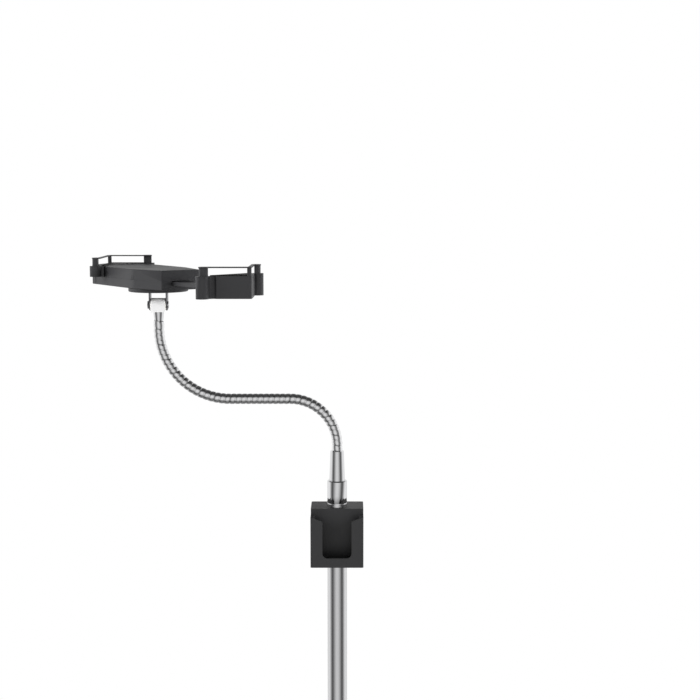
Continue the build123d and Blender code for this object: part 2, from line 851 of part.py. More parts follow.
with BuildPart() as swivel_screw:
    with BuildSketch(tip_level(disc_z)):
        Circle(pivot_radius)
    extrude(amount=retainer_top_z - disc_z)
    with BuildSketch(tip_level(retainer_top_z)):
        Circle(swivel_screw_head_radius)
    extrude(amount=swivel_screw_head_height)
    with BuildSketch(tip_level(retainer_top_z + swivel_screw_head_height)):
        RegularPolygon(swivel_screw_socket_radius, 6)
    extrude(amount=-swivel_screw_socket_depth, mode=Mode.SUBTRACT)
save(swivel_screw, "swivel_screw")

# The holder lies along the device's diagonal
diagonal = hypot(device_width, device_length)
along = (device_width / diagonal, -device_length / diagonal, 0)
housing_top_z = housing_z + housing_height
jaw_top_z = housing_z + jaw_top_rise
device_under_z = jaw_top_z + jaw_top_gap
device_top_z = device_under_z + device_thickness
lip_z = device_top_z + lip_gap
rack_z = housing_z + rack_rise
rack_top_z = rack_z + rack_thickness
floor_z = housing_z + housing_wall
split_z = housing_z + housing_split


def holder_level(height):
    """The horizontal plane on the swivel axis whose x runs along the holder to the moving jaw."""
    return Plane(origin=(tip_x, 0, height), x_dir=along, z_dir=(0, 0, 1))


def release_plane():
    """A plane across the holder at the pawl, whose -x runs to the far flank and whose y is up."""
    origin = (tip_x + along[0] * pawl_place, along[1] * pawl_place, 0)
    return Plane(origin=origin, x_dir=(along[1], -along[0], 0), z_dir=(-along[0], -along[1], 0))


end_distance = hypot(housing_end, housing_end_half_width)
end_angle = degrees(atan2(housing_end_half_width, housing_end))
tangent_angle = end_angle + 90 - degrees(asin(housing_half_width / end_distance))
tangent_x = housing_half_width * cos(radians(tangent_angle))
tangent_y = housing_half_width * sin(radians(tangent_angle))


def housing_outline(back, back_half_width, inset):
    """The housing in plan from its end wall back to a shoulder or a seam, then on to a narrower end."""
    with BuildLine() as outline:
        Line((-back, -housing_half_width), (0, -housing_half_width))
        CenterArc((0, 0), housing_half_width, -90, 90 - tangent_angle)
        Line((tangent_x, -tangent_y), (housing_end, -housing_end_half_width))
        Line((housing_end, -housing_end_half_width), (housing_end, housing_end_half_width))
        Line((housing_end, housing_end_half_width), (tangent_x, tangent_y))
        CenterArc((0, 0), housing_half_width, tangent_angle, 90 - tangent_angle)
        Line((0, housing_half_width), (-back, housing_half_width))
        if back_half_width < housing_half_width:
            tail_x = holder_offset - diagonal / 2 + taper_gap
            Line((-back, housing_half_width), (tail_x, back_half_width))
            Line((tail_x, back_half_width), (tail_x, -back_half_width))
            Line((tail_x, -back_half_width), (-back, -housing_half_width))
        else:
            Line((-back, housing_half_width), (-back, -housing_half_width))
    make_face(outline.edges())
    if inset:
        offset(amount=-inset, mode=Mode.REPLACE)


cover_boss_places = [
    (housing_end - boss_inset_front, -boss_front_across),
    (housing_end - boss_inset_front, boss_front_across),
    (-housing_seam + boss_inset_back, -boss_back_across),
    (-housing_seam + boss_inset_back, boss_back_across),
]
jaw_boss_places = [
    (-housing_seam - boss_inset_end, -boss_end_across),
    (-housing_seam - boss_inset_end, boss_end_across),
]
boss_places = cover_boss_places + jaw_boss_places
rail_inner = rack_width / 2 + slide_gap
rail_front = housing_end - housing_wall
rail_middle = (rail_front - rail_back) / 2
button_z = housing_z + button_rise
flank_slope = (tangent_y - housing_end_half_width) / (housing_end - tangent_x)
flank_y = -tangent_y + (pawl_place - tangent_x) * flank_slope


def side_plane(reach):
    """An upright plane at the pawl that faces the far flank, whose x runs back along the holder."""
    origin = holder_level(0).from_local_coords((pawl_place, reach, 0))
    return Plane(origin=origin, x_dir=(-along[0], -along[1], 0), z_dir=(-along[1], along[0], 0))


with BuildPart() as rear_shell:
    with BuildSketch(holder_level(housing_z)):
        housing_outline(housing_shoulder, taper_half_width, 0)
    extrude(amount=housing_split)
    fillet(rear_shell.faces().sort_by(Axis.Z)[0].edges(), housing_edge_radius)
    with BuildSketch(holder_level(housing_z + seam_line_rise)):
        with Locations((-housing_seam, -housing_half_width), (-housing_seam, housing_half_width)):
            Rectangle(seam_line_width, 2 * seam_line_depth)
    extrude(amount=housing_split, mode=Mode.SUBTRACT)
    with BuildSketch(holder_level(floor_z)):
        housing_outline(housing_shoulder, taper_half_width, housing_wall)
    extrude(amount=housing_split, mode=Mode.SUBTRACT)
    with BuildSketch(holder_level(floor_z)):
        with Locations(*boss_places):
            Circle(screw_boss_radius)
    extrude(amount=split_z - floor_z)
    with BuildSketch(holder_level(floor_z)):
        for side in (-1, 1):
            with Locations((rail_middle, side * (rail_inner + rail_width / 2))):
                Rectangle(rail_front + rail_back, rail_width)
    extrude(amount=rack_top_z - floor_z)
    with BuildSketch(holder_level(floor_z)):
        with Locations((-rest_place, 0)):
            Rectangle(rest_width, 2 * rail_inner)
    extrude(amount=rack_z - running_fit - floor_z)
    with BuildSketch(holder_level(rack_z - running_fit)):
        with Locations((housing_end - housing_wall / 2, 0)):
            Rectangle(housing_wall + 2 * overrun, rack_width + 2 * slide_gap)
    extrude(amount=housing_split, mode=Mode.SUBTRACT)
    with BuildSketch(holder_level(housing_z)):
        Circle(disc_boss_radius + hub_clearance)
        with Locations(*boss_places):
            Circle(shell_screw_radius + fit)
    extrude(amount=housing_split, mode=Mode.SUBTRACT)
    with BuildSketch(holder_level(housing_z)):
        with Locations(*boss_places):
            Circle(shell_screw_head_radius + running_fit)
    extrude(amount=shell_screw_head_height + shell_screw_recess, mode=Mode.SUBTRACT)
    with BuildSketch(holder_level(floor_z)):
        with Locations((pawl_place, rail_inner + rail_width / 2)):
            Rectangle(pawl_along + 2 * slide_gap, rail_width + 2 * fit)
    extrude(amount=rack_z - floor_z, mode=Mode.SUBTRACT)
    with BuildSketch(side_plane(housing_half_width)):
        with Locations((0, button_z)):
            SlotOverall(button_length + 2 * running_fit, button_width + 2 * running_fit)
    extrude(amount=-(housing_half_width - rail_inner - rail_width - overrun), mode=Mode.SUBTRACT)
save(rear_shell, "rear_shell")

with BuildPart() as shell_screws:
    with BuildSketch(holder_level(housing_z + shell_screw_recess)):
        with Locations(*boss_places):
            Circle(shell_screw_head_radius)
    extrude(amount=shell_screw_head_height)
    with BuildSketch(holder_level(housing_z + shell_screw_recess)):
        with Locations(*boss_places):
            Circle(shell_screw_radius)
    extrude(amount=shell_screw_length)
save(shell_screws, "shell_screws")

# Corners of the device that the jaws hold
middle_x = tip_x + along[0] * holder_offset
middle_y = along[1] * holder_offset
moving_corner = (middle_x + device_width / 2, middle_y - device_length / 2)
fixed_corner = (middle_x - device_width / 2, middle_y + device_length / 2)
corner_post_reach = device_corner_radius + corner_post_gap + corner_post_radius
corner_post_place = device_corner_radius - corner_post_reach * cos(radians(45))
jaw_corner_radius = corner_post_radius + corner_post_skin
jaw_wall = jaw_corner_radius - corner_post_place


def jaw_level(corner, side, height):
    """A horizontal plane on a device corner: x runs along the long edge and y along the short one."""
    return Plane(origin=(corner[0], corner[1], height), x_dir=(0, side, 0), z_dir=(0, 0, 1))


def leg_ends(long_leg, short_leg):
    """Middles of the round ends of a jaw's two legs."""
    return [(long_leg, -leg_end_offset), (-leg_end_offset, short_leg)]


def post_places(long_leg, short_leg):
    """Middles of the posts near the ends of a jaw's two legs."""
    return [(long_leg - post_back, -post_offset), (-post_offset, short_leg - post_back)]


def post_sketch(long_leg, short_leg):
    """A jaw's posts: two that are flat beside the device, and a round one at its corner."""
    with Locations(*post_places(long_leg, short_leg)):
        Circle(post_radius)
    with Locations((-post_gap, -post_gap)):
        Rectangle(device_length, device_length, align=(Align.MIN, Align.MIN), mode=Mode.SUBTRACT)
    with Locations((corner_post_place, corner_post_place)):
        Circle(corner_post_radius)


def jaw_outline(long_leg, short_leg, points):
    """A jaw in plan: the given inner points, both legs, their rounded ends and the flutes beside them."""
    Polygon(
        (-jaw_wall, short_leg),
        (-jaw_wall, -jaw_wall),
        (long_leg, -jaw_wall),
        *points,
        align=None,
    )


def jaw_sketch(long_leg, short_leg, points):
    """The whole outline of a jaw, with a rounded corner, rounded leg ends and flutes."""
    jaw_outline(long_leg, short_leg, points)
    with Locations(*leg_ends(long_leg, short_leg)):
        Circle(leg_end_radius)
    flute_out = -jaw_wall - flute_radius + flute_depth
    with Locations((long_leg - flute_from_end, flute_out), (flute_out, short_leg - flute_from_end)):
        Circle(flute_radius, mode=Mode.SUBTRACT)


def chord(long_leg, short_leg):
    """Inner points of a jaw that is filled to the straight line between its leg ends."""
    return [(long_leg, 0), (0, short_leg)]


def strips(long_leg, short_leg, inner):
    """Inner points of a jaw whose legs are strips that reach a distance inside the device's edges."""
    return [(long_leg, inner), (inner, inner), (inner, short_leg)]


# Fixed jaw: the end of the housing beyond the seam, with two legs, three posts and a lip
with BuildPart() as fixed_jaw:
    with BuildSketch(holder_level(split_z)):
        housing_outline(housing_shoulder, taper_half_width, 0)
        with Locations(((housing_end - housing_seam) / 2, 0)):
            Rectangle(
                housing_end + housing_seam, 2 * housing_half_width + overrun, mode=Mode.SUBTRACT
            )
    extrude(amount=jaw_top_z - split_z)
    with BuildSketch(jaw_level(fixed_corner, -1, split_z)):
        jaw_sketch(
            fixed_long_leg, fixed_short_leg, strips(fixed_long_leg, fixed_short_leg, leg_inner_width)
        )
    extrude(amount=jaw_top_z - split_z)
    with BuildSketch(jaw_level(fixed_corner, -1, jaw_top_z)):
        post_sketch(fixed_long_leg, fixed_short_leg)
    extrude(amount=lip_z - jaw_top_z)
    with BuildSketch(jaw_level(fixed_corner, -1, lip_z)):
        jaw_outline(
            fixed_long_leg, fixed_short_leg, strips(fixed_long_leg, fixed_short_leg, lip_overhang)
        )
        with Locations(*post_places(fixed_long_leg, fixed_short_leg)):
            Circle(post_radius + lip_edge)
    extrude(amount=lip_thickness)
    corner_edges = fixed_jaw.edges().filter_by(Axis.Z).filter_by(
        lambda edge: abs(edge.center().X - fixed_corner[0] + jaw_wall) < fit
        and abs(edge.center().Y - fixed_corner[1] - jaw_wall) < fit
    )
    fillet(corner_edges, jaw_corner_radius)
    with BuildSketch(holder_level(split_z)):
        with Locations(*jaw_boss_places):
            Circle(shell_screw_radius + fit)
    extrude(amount=shell_screw_length, mode=Mode.SUBTRACT)
save(fixed_jaw, "fixed_jaw")

with BuildPart() as fixed_jaw_pad:
    with BuildSketch(jaw_level(fixed_corner, -1, jaw_top_z)):
        Polygon(
            (pad_inset, pad_inset),
            (fixed_long_leg - pad_inset, pad_inset),
            (fixed_long_leg - pad_inset, leg_inner_width - fit),
            (leg_inner_width - fit, leg_inner_width - fit),
            (leg_inner_width - fit, fixed_short_leg - pad_inset),
            (pad_inset, fixed_short_leg - pad_inset),
            align=None,
        )
    extrude(amount=pad_thickness_top)
save(fixed_jaw_pad, "fixed_jaw_pad")

with BuildPart() as front_cover:
    with BuildSketch(holder_level(split_z)):
        housing_outline(housing_seam - seam_gap, housing_half_width, 0)
    extrude(amount=housing_top_z - split_z)
    fillet(front_cover.faces().sort_by(Axis.Z)[-1].edges(), housing_edge_radius)
    with BuildSketch(holder_level(split_z)):
        housing_outline(housing_seam - seam_gap, housing_half_width, housing_wall)
    extrude(amount=housing_top_z - split_z - cover_roof, mode=Mode.SUBTRACT)
    with BuildSketch(holder_level(split_z)):
        with Locations(*cover_boss_places):
            Circle(screw_boss_radius)
    extrude(amount=housing_top_z - split_z - cover_roof)
    with BuildSketch(holder_level(rack_top_z + slide_gap)):
        for side in (-1, 1):
            with Locations((rail_middle, side * press_rib_across)):
                Rectangle(rail_front + rail_back - 2 * slide_gap, press_rib_width)
    extrude(amount=housing_top_z - cover_roof - rack_top_z - slide_gap)
    with BuildSketch(holder_level(split_z)):
        with Locations(*cover_boss_places):
            Circle(shell_screw_radius + fit)
    extrude(amount=housing_top_z - split_z - cover_roof, mode=Mode.SUBTRACT)
    with BuildSketch(jaw_level(fixed_corner, -1, split_z)):
        Polygon(
            (0, leg_inner_width + seam_gap),
            (0, -jaw_wall - leg_outer_room),
            (fixed_long_leg + jaw_wall, -jaw_wall - leg_outer_room),
            (fixed_long_leg + jaw_wall, leg_inner_width + seam_gap),
            align=None,
        )
    extrude(amount=housing_top_z - split_z, mode=Mode.SUBTRACT)
save(front_cover, "front_cover")

# Moving jaw: a hollow corner block on the end of the rack
moving_z = jaw_top_z - moving_jaw_height
corner_along = holder_offset + diagonal / 2
long_end_along = corner_along + moving_long_leg * along[1]
long_end_across = moving_long_leg * along[0]
short_end_along = corner_along - moving_short_leg * along[0]
short_end_across = moving_short_leg * along[1]
chord_share = long_end_across / (long_end_across - short_end_across)
chord_along = long_end_along + (short_end_along - long_end_along) * chord_share
rack_end = chord_along + rack_in_jaw
rack_screw_places = [
    (rack_end - jaw_screw_inset, 0),
    (rack_end - jaw_screw_inset - jaw_screw_spacing, 0),
]
cover_screw_places = [(cover_screw_from_corner, cover_screw_in), (cover_screw_in, cover_screw_from_corner)]
cavity_z = moving_z + jaw_cover_thickness
roof_z = jaw_top_z - jaw_roof

with BuildPart() as moving_jaw:
    with BuildSketch(jaw_level(moving_corner, 1, moving_z)):
        jaw_sketch(moving_long_leg, moving_short_leg, chord(moving_long_leg, moving_short_leg))
    extrude(amount=moving_jaw_height)
    with BuildSketch(jaw_level(moving_corner, 1, jaw_top_z)):
        post_sketch(moving_long_leg, moving_short_leg)
    extrude(amount=lip_z - jaw_top_z)
    with BuildSketch(jaw_level(moving_corner, 1, lip_z)):
        jaw_outline(
            moving_long_leg, moving_short_leg, strips(moving_long_leg, moving_short_leg, lip_overhang)
        )
        with Locations(*post_places(moving_long_leg, moving_short_leg)):
            Circle(post_radius + lip_edge)
    extrude(amount=lip_thickness)
    corner_edges = moving_jaw.edges().filter_by(Axis.Z).filter_by(
        lambda edge: abs(edge.center().X - moving_corner[0] - jaw_wall) < fit
        and abs(edge.center().Y - moving_corner[1] + jaw_wall) < fit
    )
    fillet(corner_edges, jaw_corner_radius)
    with BuildSketch(jaw_level(moving_corner, 1, moving_z)):
        jaw_outline(moving_long_leg, moving_short_leg, chord(moving_long_leg, moving_short_leg))
        offset(amount=-jaw_shell_wall, mode=Mode.REPLACE)
    extrude(amount=roof_z - moving_z, mode=Mode.SUBTRACT)
    with BuildSketch(holder_level(rack_top_z)):
        with Locations(*rack_screw_places):
            Circle(screw_boss_radius)
    extrude(amount=roof_z - rack_top_z)
    with BuildSketch(jaw_level(moving_corner, 1, cavity_z)):
        with Locations(*cover_screw_places):
            Circle(screw_boss_radius)
    extrude(amount=roof_z - cavity_z)
    with BuildSketch(holder_level(rack_z - fit)):
        with Locations((chord_along, 0)):
            Rectangle(2 * rack_slot_reach, rack_width + 2 * fit)
    extrude(amount=rack_thickness + 2 * fit, mode=Mode.SUBTRACT)
    with BuildSketch(holder_level(rack_top_z)):
        with Locations(*rack_screw_places):
            Circle(jaw_screw_radius + fit)
    extrude(amount=jaw_screw_bite, mode=Mode.SUBTRACT)
    with BuildSketch(jaw_level(moving_corner, 1, cavity_z)):
        with Locations(*cover_screw_places):
            Circle(jaw_screw_radius + fit)
    extrude(amount=jaw_screw_bite, mode=Mode.SUBTRACT)
save(moving_jaw, "moving_jaw")

with BuildPart() as moving_jaw_pad:
    with BuildSketch(jaw_level(moving_corner, 1, jaw_top_z)):
        Polygon((0, 0), (moving_long_leg, 0), (0, moving_short_leg), align=None)
        offset(amount=-pad_inset, mode=Mode.REPLACE)
    extrude(amount=pad_thickness_top)
save(moving_jaw_pad, "moving_jaw_pad")

with BuildPart() as jaw_cover:
    with BuildSketch(jaw_level(moving_corner, 1, moving_z)):
        jaw_outline(moving_long_leg, moving_short_leg, chord(moving_long_leg, moving_short_leg))
        offset(amount=-jaw_shell_wall - running_fit, mode=Mode.REPLACE)
        with Locations(*cover_screw_places):
            Circle(jaw_screw_radius + fit, mode=Mode.SUBTRACT)
    extrude(amount=jaw_cover_thickness)
    with BuildSketch(jaw_level(moving_corner, 1, moving_z)):
        with Locations(*cover_screw_places):
            Circle(jaw_screw_head_radius + fit)
    extrude(amount=cover_screw_head_height, mode=Mode.SUBTRACT)
save(jaw_cover, "jaw_cover")

with BuildPart() as jaw_cover_screws:
    with BuildSketch(jaw_level(moving_corner, 1, moving_z)):
        with Locations(*cover_screw_places):
            Circle(jaw_screw_head_radius)
    extrude(amount=cover_screw_head_height)
    with BuildSketch(jaw_level(moving_corner, 1, moving_z)):
        with Locations(*cover_screw_places):
            Circle(jaw_screw_radius)
    extrude(amount=jaw_cover_thickness + jaw_screw_bite - running_fit)
save(jaw_cover_screws, "jaw_cover_screws")

# Rack arm with slanting teeth on its underside
rack_start = housing_end - rack_inside
rack_length = rack_end - rack_start
tooth_step = tooth_pitch / sin(radians(tooth_slant))
tooth_span = chord_along - rack_start - 2 * tooth_margin
tooth_count = int(tooth_span / tooth_step)

with BuildPart() as rack_arm:
    with BuildSketch(holder_level(rack_z)):
        with Locations((rack_start + rack_length / 2, 0)):
            Rectangle(rack_length, rack_width)
        with Locations(*rack_screw_places):
            Circle(jaw_screw_radius + fit, mode=Mode.SUBTRACT)
    extrude(amount=rack_thickness)
    with BuildSketch(holder_level(rack_z)):
        with Locations((rack_start + tooth_margin + tooth_span / 2, 0)):
            with GridLocations(tooth_step, 0, tooth_count, 1):
                Rectangle(tooth_width, 2 * rack_width, rotation=tooth_slant)
        with Locations((rack_start + tooth_margin + tooth_span / 2, 0)):
            Rectangle(tooth_span + rack_width, rack_width, mode=Mode.INTERSECT)
    extrude(amount=tooth_depth, mode=Mode.SUBTRACT)
save(rack_arm, "rack_arm")

with BuildPart() as rack_screws:
    with BuildSketch(holder_level(rack_z - jaw_screw_head_height)):
        with Locations(*rack_screw_places):
            Circle(jaw_screw_head_radius)
    extrude(amount=jaw_screw_head_height)
    with BuildSketch(holder_level(rack_z - jaw_screw_head_height)):
        with Locations(*rack_screw_places):
            Circle(jaw_screw_radius)
    extrude(amount=jaw_screw_head_height + rack_thickness + jaw_screw_bite - running_fit)
save(rack_screws, "rack_screws")

# Pawl under the rack, drawn at the top of its click, with the ear that the button's wedge presses
pawl_top_z = rack_z - pawl_gap
pawl_body_z = pawl_top_z - pawl_tooth_height
pawl_z = pawl_body_z - pawl_body
pawl_half = pawl_across / 2
wedge_slope = pawl_drop / button_travel
ear_flat_end = -pawl_half - pawl_flat
ear_end = ear_flat_end - (pawl_body - pawl_ear_lip) / wedge_slope

with BuildPart() as rack_pawl:
    with BuildSketch(holder_level(pawl_z)):
        with Locations((pawl_place, 0)):
            Rectangle(pawl_along, pawl_across)
    extrude(amount=pawl_body)
    with BuildSketch(holder_level(pawl_body_z)):
        with Locations((pawl_place, 0)):
            with GridLocations(tooth_step, 0, 2, 1):
                Rectangle(tooth_width, 2 * pawl_across, rotation=tooth_slant)
            Rectangle(pawl_along, pawl_across, mode=Mode.INTERSECT)
    extrude(amount=pawl_tooth_height)
    with BuildSketch(release_plane()):
        Polygon(
            (-pawl_half, pawl_z),
            (-pawl_half, pawl_body_z),
            (ear_flat_end, pawl_body_z),
            (ear_end, pawl_z + pawl_ear_lip),
            (ear_end, pawl_z),
            align=None,
        )
    extrude(amount=pawl_ear / 2, both=True)
save(rack_pawl, "rack_pawl")

with BuildPart() as pawl_spring:
    with BuildSketch(side_plane(0)):
        with BuildLine():
            half = spring_length / 2
            bow_z = floor_z + spring_bow
            ThreePointArc((-half, floor_z), (0, bow_z), (half, floor_z))
            Line((half, floor_z), (half, floor_z + spring_thickness))
            ThreePointArc(
                (half, floor_z + spring_thickness),
                (0, bow_z + spring_thickness),
                (-half, floor_z + spring_thickness),
            )
            Line((-half, floor_z + spring_thickness), (-half, floor_z))
        make_face()
    extrude(amount=spring_width / 2, both=True)
save(pawl_spring, "pawl_spring")

# Release button in the far flank, with the wedge that draws the pawl down
cap_outer = -flank_y + button_proud
cap_inner = cap_outer - button_cap_depth
shank_top_z = housing_z + button_shank_top
shank_foot_z = housing_z + button_shank_foot
wedge_start = ear_end - button_travel - wedge_gap
wedge_start_z = pawl_z + pawl_ear_lip + wedge_gap + (wedge_start - ear_end) * wedge_slope
tip_across = ear_flat_end - pawl_ear_lip / wedge_slope - wedge_gap / wedge_slope
tip_bottom_z = wedge_start_z + (tip_across - wedge_start) * wedge_slope

with BuildPart() as release_button:
    with BuildSketch(side_plane(cap_outer)):
        with Locations((0, button_z)):
            SlotOverall(button_length, button_width)
    extrude(amount=-button_cap_depth)
    with BuildSketch(release_plane()):
        Polygon(
            (-cap_inner, shank_foot_z),
            (-cap_inner, shank_top_z),
            (tip_across, shank_top_z),
            (tip_across, tip_bottom_z),
            (wedge_start, wedge_start_z),
            (wedge_start, shank_foot_z),
            align=None,
        )
    extrude(amount=button_shank_width / 2, both=True)
save(release_button, "release_button")
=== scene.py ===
# %% [markdown]
# # An adjustable floor stand for a flat device
#
# The stand has a weighted base, a telescopic steel pole with a pocket clamped to it, a chrome gooseneck and a
# black holder whose two jaws grip a device by its corners. The imported model already has every rigid piece at
# its real size, so this lesson adds what the eye looks for: soft edges, finishes, and a ribbed neck with its
# bends.

# %% Load the imported model
import json
import math

import bmesh
import bpy
from mathutils import Matrix, Vector


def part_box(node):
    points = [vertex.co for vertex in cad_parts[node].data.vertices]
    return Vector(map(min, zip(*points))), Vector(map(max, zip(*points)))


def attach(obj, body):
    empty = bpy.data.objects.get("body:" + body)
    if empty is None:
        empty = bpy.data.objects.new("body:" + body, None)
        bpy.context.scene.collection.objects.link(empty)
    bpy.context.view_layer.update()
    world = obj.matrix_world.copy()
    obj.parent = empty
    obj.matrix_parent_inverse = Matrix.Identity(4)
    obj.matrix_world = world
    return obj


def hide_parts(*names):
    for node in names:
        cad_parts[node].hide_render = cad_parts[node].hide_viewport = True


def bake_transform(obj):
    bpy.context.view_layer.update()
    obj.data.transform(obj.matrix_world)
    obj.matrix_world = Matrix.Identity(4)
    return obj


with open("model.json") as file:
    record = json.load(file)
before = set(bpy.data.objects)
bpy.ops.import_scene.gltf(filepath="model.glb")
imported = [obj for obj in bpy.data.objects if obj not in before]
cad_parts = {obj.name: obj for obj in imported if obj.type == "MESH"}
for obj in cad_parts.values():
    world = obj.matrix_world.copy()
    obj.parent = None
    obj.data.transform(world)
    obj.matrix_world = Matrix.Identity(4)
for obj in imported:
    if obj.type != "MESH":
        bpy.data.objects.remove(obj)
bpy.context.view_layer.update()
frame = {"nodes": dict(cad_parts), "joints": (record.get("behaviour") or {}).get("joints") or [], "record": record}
nodes = frame["nodes"]

# %% [markdown]
# ## The camera
#
# A camera in front of the holder, a little above it, looks slightly down. A long lens keeps the pole's sides
# parallel. A pitch of a few degrees shows the tops of the pocket and of the jaws, which a level camera hides.

# %% Make the camera
CAMERA_PLACE = (0.0139, -1.442, 1.340)
CAMERA_PITCH = math.radians(6.6)
CAMERA_LENS = 69.8
SENSOR_WIDTH = 36.0

camera_data = bpy.data.cameras.new("camera")
camera_data.lens = CAMERA_LENS
camera_data.sensor_width = SENSOR_WIDTH
camera_data.clip_end = 50.0
camera = bpy.data.objects.new("camera", camera_data)
camera.location = CAMERA_PLACE
camera.rotation_euler = (math.pi / 2 - CAMERA_PITCH, 0, 0)
bpy.context.scene.collection.objects.link(camera)
bpy.context.scene.camera = camera
print("camera lens", camera_data.lens)

# %% [markdown]
# ## Node helpers
#
# Every finish below is a small node tree, so a few helpers keep the cells short: one adds a node and sets its
# properties, one joins two sockets, and one starts a material with a Principled shader. A noise rarely
# reaches its ends, so its middle range alone is spread over the values that a finish needs.

# %% Helpers for node trees
NOISE_LOW = 0.3
NOISE_HIGH = 0.7


def add_node(tree, kind, **properties):
    """Adds a node and sets its properties."""
    node = tree.nodes.new(kind)
    for name, value in properties.items():
        setattr(node, name, value)
    return node


def join(tree, source, target):
    """Joins an output socket to an input socket."""
    tree.links.new(source, target)


def start_material(name, colour, metallic, roughness):
    """A material with a plain Principled shader, and its tree and shader."""
    material = bpy.data.materials.new(name)
    material.use_nodes = True
    tree = material.node_tree
    shader = tree.nodes["Principled BSDF"]
    shader.inputs["Base Color"].default_value = (*colour, 1)
    shader.inputs["Metallic"].default_value = metallic
    shader.inputs["Roughness"].default_value = roughness
    return material, tree, shader


def object_noise(tree, scale, detail, stretch=(1, 1, 1)):
    """A noise on Object coordinates, which can be stretched along an axis."""
    coordinates = add_node(tree, "ShaderNodeTexCoord")
    mapping = add_node(tree, "ShaderNodeMapping")
    mapping.inputs["Scale"].default_value = stretch
    join(tree, coordinates.outputs["Object"], mapping.inputs["Vector"])
    noise = add_node(tree, "ShaderNodeTexNoise")
    noise.inputs["Scale"].default_value = scale
    noise.inputs["Detail"].default_value = detail
    join(tree, mapping.outputs["Vector"], noise.inputs["Vector"])
    return noise.outputs["Fac"]


def spread(tree, value, low, high):
    """Maps a noise's middle range onto a range from low to high."""
    ranged = add_node(tree, "ShaderNodeMapRange")
    ranged.inputs["From Min"].default_value = NOISE_LOW
    ranged.inputs["From Max"].default_value = NOISE_HIGH
    ranged.inputs["To Min"].default_value = low
    ranged.inputs["To Max"].default_value = high
    join(tree, value, ranged.inputs["Value"])
    return ranged.outputs["Result"]


def tint(tree, value, dark, light):
    """A colour that runs from dark to light with a value."""
    mix = add_node(tree, "ShaderNodeMix", data_type="RGBA")
    mix.inputs[6].default_value = (*dark, 1)
    mix.inputs[7].default_value = (*light, 1)
    join(tree, value, mix.inputs[0])
    return mix.outputs[2]


def bump(tree, shader, height, distance, strength):
    """Raises the shader's surface by a height."""
    node = add_node(tree, "ShaderNodeBump")
    node.inputs["Distance"].default_value = distance
    node.inputs["Strength"].default_value = strength
    join(tree, height, node.inputs["Height"])
    join(tree, node.outputs["Normal"], shader.inputs["Normal"])


print("helpers ready")

# %% [markdown]
# ## Moulded black plastic
#
# The holder and the pocket are moulded in black plastic with a fine spark-eroded grain. Two noises make it: a
# fine one is the grain itself, as bump, and a coarse one varies the sheen, as handling does. The grain could be
# displaced for real, but at a tenth of a millimetre only the light shows it, so bump is enough.

# %% Make the moulded plastics
HANDLING_SCALE = 22.0
GRAIN_STRENGTH = 0.6


def moulded_plastic(name, dark, light, roughness, grain_scale, grain_height):
    """Plastic with a fine grain and a sheen that varies from place to place."""
    material, tree, shader = start_material(name, light, 0.0, sum(roughness) / 2)
    handling = object_noise(tree, HANDLING_SCALE, 3.0)
    join(tree, spread(tree, handling, *roughness), shader.inputs["Roughness"])
    join(tree, tint(tree, handling, dark, light), shader.inputs["Base Color"])
    grain = object_noise(tree, grain_scale, 2.0)
    bump(tree, shader, grain, grain_height, GRAIN_STRENGTH)
    return material


holder_plastic = moulded_plastic(
    "holder_plastic", (0.022, 0.022, 0.024), (0.032, 0.032, 0.034), (0.42, 0.55), 1900.0, 0.00012
)
pocket_plastic = moulded_plastic(
    "pocket_plastic", (0.02, 0.02, 0.021), (0.028, 0.028, 0.029), (0.45, 0.58), 1500.0, 0.00014
)
clamp_plastic = moulded_plastic(
    "clamp_plastic", (0.015, 0.015, 0.015), (0.024, 0.024, 0.024), (0.35, 0.5), 1200.0, 0.0001
)
slide_plastic = moulded_plastic(
    "slide_plastic", (0.7, 0.68, 0.62), (0.8, 0.79, 0.74), (0.3, 0.42), 900.0, 0.00005
)
print("plastics ready")

# %% [markdown]
# ## Rubber, paint and iron
#
# The jaw pads and the base pad are rubber, which is duller than the plastic. The base cover is powder coated
# steel: its fine orange peel is a slow noise, and dust gathers in it as a slightly lighter tone. The weight
# inside is a rough casting.

# %% Make rubber, paint and iron
PEEL_STRENGTH = 0.5


def coated(name, dark, light, roughness, scales, peel_height, metallic=0.0):
    """A surface with a slow unevenness and a fine one, for coats, rubber and castings."""
    material, tree, shader = start_material(name, light, metallic, sum(roughness) / 2)
    slow = object_noise(tree, scales[0], 4.0)
    join(tree, tint(tree, slow, dark, light), shader.inputs["Base Color"])
    join(tree, spread(tree, slow, *roughness), shader.inputs["Roughness"])
    fine = object_noise(tree, scales[1], 3.0)
    bump(tree, shader, fine, peel_height, PEEL_STRENGTH)
    return material


rubber = coated(
    "rubber", (0.012, 0.012, 0.012), (0.022, 0.022, 0.022), (0.7, 0.85), (60.0, 2500.0), 0.0001
)
base_paint = coated(
    "base_paint", (0.014, 0.014, 0.015), (0.022, 0.022, 0.023), (0.36, 0.5), (9.0, 700.0), 0.00012
)
base_iron = coated(
    "base_iron", (0.05, 0.05, 0.05), (0.12, 0.11, 0.1), (0.6, 0.8), (30.0, 500.0), 0.0004, 0.8
)
print("coats ready")

# %% [markdown]
# ## Bright metals
#
# The tubes are plated over a drawn surface, so very fine lines run along them. The ferrules are polished
# chrome, the pivot block is blasted nickel, the clevis is blackened, and screws are zinc plated with a slight
# bloom. A metal's look is mostly its roughness, so each of them is one shader with a noise that is stretched
# the way the part was worked.

# %% Make the metals
LINE_STRENGTH = 0.3


def worked_metal(name, colour, roughness, scale, stretch, line_height, metallic=1.0):
    """Metal whose roughness and fine lines follow the way it was worked."""
    material, tree, shader = start_material(name, colour, metallic, sum(roughness) / 2)
    lines = object_noise(tree, scale, 3.0, stretch)
    join(tree, spread(tree, lines, *roughness), shader.inputs["Roughness"])
    if line_height:
        bump(tree, shader, lines, line_height, LINE_STRENGTH)
    return material


